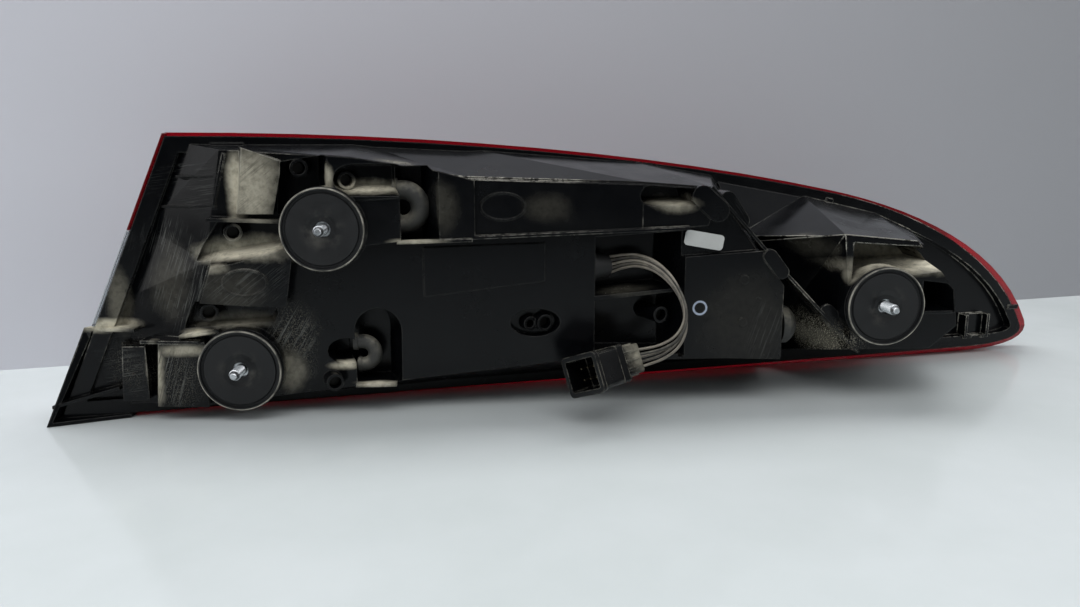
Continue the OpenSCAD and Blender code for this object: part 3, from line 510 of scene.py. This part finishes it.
# -------------------------------------------------------------------- camera
camera = bpy.data.objects.new("camera", bpy.data.cameras.new("camera"))
bpy.context.scene.collection.objects.link(camera)
camera.location = (0.0838, -0.4274, 0.0429)
camera.rotation_euler = Euler((math.radians(79), 0, math.radians(-4)))
camera.data.sensor_width = 36
camera.data.lens = 27.03
camera.data.clip_start = 0.01
bpy.context.scene.camera = camera

# --------------------------------------------------------------------- wires
# The route that part.scad gives the five wires, in mm: middle line, then how far each starts and ends from it.
ROUTE = [
    (153.3, 26.1, -24), (157.5, 26.5, -23), (163, 25, -21.5), (170, 21, -20.5), (178, 14.5, -22.5),
    (185, 7.5, -28), (190, 2, -36), (192.5, -2, -45), (192, -4, -54), (188, -3.5, -62), (181, -0.5, -68),
    (172, 2, -71.5), (162.8, -1.5, -72),
]
WIRE_START = [(0, 0, 5.2), (0, 0, 2.6), (0, 0, 0), (0, 0, -2.6), (0, 0, -5.2)]
WIRE_END = [(-1, 1, 5), (1, -2, 3), (0, 2, 0), (-1, 0, -3), (1, -2, -5)]
WIRE_WIDE = 1.6
STEPS_A_STRETCH = 6


def smooth_line(points, steps):
    """A Catmull-Rom line through the points, so that a wire bends without corners."""
    line = []
    for k in range(len(points) - 1):
        before, here, there = points[max(k - 1, 0)], points[k], points[k + 1]
        after = points[min(k + 2, len(points) - 1)]
        for n in range(steps):
            t = n / steps
            line.append(0.5 * (2 * here + (there - before) * t
                               + (2 * before - 5 * here + 4 * there - after) * t * t
                               + (3 * here - before - 3 * there + after) * t ** 3))
    return line + [points[-1]]


def wire(index):
    """One insulated wire as a round tube on its own smooth line."""
    points = []
    for k, middle in enumerate(ROUTE):
        t = k / (len(ROUTE) - 1)
        points.append(Vector(middle) + (1 - t) ** 2 * Vector(WIRE_START[index]) + t * t * Vector(WIRE_END[index]))
    points = smooth_line(points, STEPS_A_STRETCH)
    curve = bpy.data.curves.new("wire_line_%d" % (index + 1), "CURVE")
    curve.dimensions = "3D"
    curve.bevel_depth = WIRE_WIDE / 2 * MM
    curve.bevel_resolution = 3
    curve.use_fill_caps = True
    line = curve.splines.new("POLY")
    line.points.add(len(points) - 1)
    for spot, place in zip(line.points, points):
        spot.co = (*(place * MM), 1)
    piece = new_piece("insulated_wire_%d" % (index + 1), curve, wire_pvc[index])
    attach(piece, "root")
    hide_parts("wire_%d" % (index + 1))


for number in range(5):
    wire(number)


# --------------------------------------------------------------------- stage
def backdrop(name, corners, material):
    """A plain sheet of the studio, wound so that it faces the camera."""
    mesh = bmesh.new()
    mesh.faces.new([mesh.verts.new(corner) for corner in corners])
    mesh_piece(name, mesh, material)


# A lacquered table with a soft reflection, and a wall whose colour gets darker to the right: painted shade for the
# light falling off from the left.
table_top, tree, where = new_material("Glossy pale table lacquer")
smear = add(tree, "TexNoise", {}, {"Vector": where, "Scale": 7.0, "Detail": 5.0, "Roughness": 0.6}).outputs["Fac"]
# The table's near end is a darker grey, so that the black plastic doesn't mirror a white sheet.
near = add(tree, "SeparateXYZ", {}, {"Vector": where}).outputs["Y"]
near = add(tree, "MapRange", {"interpolation_type": "SMOOTHSTEP"},
           {"Value": near, "From Min": -1.3, "From Max": -0.15}).outputs["Result"]
lacquer = add(tree, "Mix", {"data_type": "RGBA"},
              {"Factor": smear, 6: colour("#c6cecd"), 7: colour("#dfe4e6")}).outputs[2]
lacquer = add(tree, "Mix", {"data_type": "RGBA"}, {"Factor": near, 6: colour("#5d6062"), 7: lacquer}).outputs[2]
polish = add(tree, "MapRange", {}, {"Value": smear, "To Min": 0.08, "To Max": 0.2}).outputs["Result"]
coat = add(tree, "BsdfPrincipled", {}, {"Base Color": lacquer, "Roughness": polish, "IOR": 1.52}).outputs["BSDF"]
put_out(tree, coat)
wall_paint, tree, where = new_material("Pale lilac-grey wall paint")
# Painted shade: the wall's colour darkens to the right, as the light falls off from the left.
light_falloff = add(tree, "SeparateXYZ", {}, {"Vector": where}).outputs["X"]
light_falloff = add(tree, "MapRange", {"interpolation_type": "SMOOTHSTEP"},
             {"Value": light_falloff, "From Min": -0.3, "From Max": 0.7}).outputs["Result"]
paint = add(tree, "Mix", {"data_type": "RGBA"},
            {"Factor": light_falloff, 6: colour("#d4d5dd"), 7: colour("#a0a1a6")}).outputs[2]
coat = add(tree, "BsdfPrincipled", {}, {"Base Color": paint, "Roughness": 0.7}).outputs["BSDF"]
# The wall shows from its front only and casts no shadow, so that the lens side can be seen and lit from behind.
reverse = add(tree, "NewGeometry").outputs["Backfacing"]
shadow = add(tree, "LightPath").outputs["Is Shadow Ray"]
through = add(tree, "Math", {"operation": "MAXIMUM"}, {0: reverse, 1: shadow}).outputs[0]
empty = add(tree, "BsdfTransparent").outputs["BSDF"]
put_out(tree, add(tree, "MixShader", {}, {0: through, 1: coat, 2: empty}).outputs["Shader"])
# The table lies a fifth of a millimetre under the part.
TABLE = cad_box[0][2] - 0.2 * MM
backdrop("table", [(-3, -3, TABLE), (4, -3, TABLE), (4, 1.5, TABLE), (-3, 1.5, TABLE)], table_top)
backdrop("wall", [(-3, -0.52, -0.6), (4, 1.1, -0.6), (4, 1.1, 3), (-3, -0.52, 3)], wall_paint)


def lamp(name, power, size, place, aim):
    """A soft white rectangular studio lamp, aimed at a point."""
    data = bpy.data.lights.new(name, "AREA")
    data.shape = "RECTANGLE"
    data.size, data.size_y = size
    data.energy = power
    light = bpy.data.objects.new(name, data)
    bpy.context.scene.collection.objects.link(light)
    light.location = place
    light.rotation_euler = (Vector(aim) - Vector(place)).to_track_quat("-Z", "Y").to_euler()


lamp("ceiling", 9.6, (1.4, 0.5), (0.15, 0.4, 1.0), (0.15, 0.0, 0))
lamp("front_top", 7.6, (1.6, 0.6), (0.1, -0.8, 1.0), (0.15, 0.0, 0))
lamp("behind", 3, (1.0, 0.5), (0.3, 1.3, 0.5), (0.2, 0.1, 0))
lamp("side_left", 5, (1.2, 1.0), (-1.1, -0.7, 0.5), (0.1, 0, -0.03))
lamp("side_right", 2.0, (0.6, 0.6), (1.1, -0.5, 0.5), (0.2, 0, -0.04))
# The room behind the camera is dark and its upper part bright, so that black plastic stays black.
world = bpy.data.worlds.new("studio")
world.use_nodes = True
tree = world.node_tree
tree.nodes.clear()
direction = add(tree, "TexCoord").outputs["Generated"]
parts = add(tree, "SeparateXYZ", {}, {"Vector": direction}).outputs
glow = add(tree, "MapRange", {"interpolation_type": "SMOOTHSTEP"},
           {"Value": parts["Z"], "From Min": 0.05, "From Max": 0.8,
            "To Min": 0.11, "To Max": 0.6}).outputs["Result"]
room = add(tree, "MapRange", {},
           {"Value": parts["Y"], "From Min": -0.9, "From Max": 0.1, "To Min": 0.5}).outputs["Result"]
glow = add(tree, "Math", {"operation": "MULTIPLY"}, {0: glow, 1: room}).outputs[0]
sky = add(tree, "Background", {}, {"Color": colour("#d4d8dc"), "Strength": glow}).outputs["Background"]
add(tree, "OutputWorld", {}, {"Surface": sky})
bpy.context.scene.world = world
bpy.context.scene.view_settings.view_transform = "Standard"
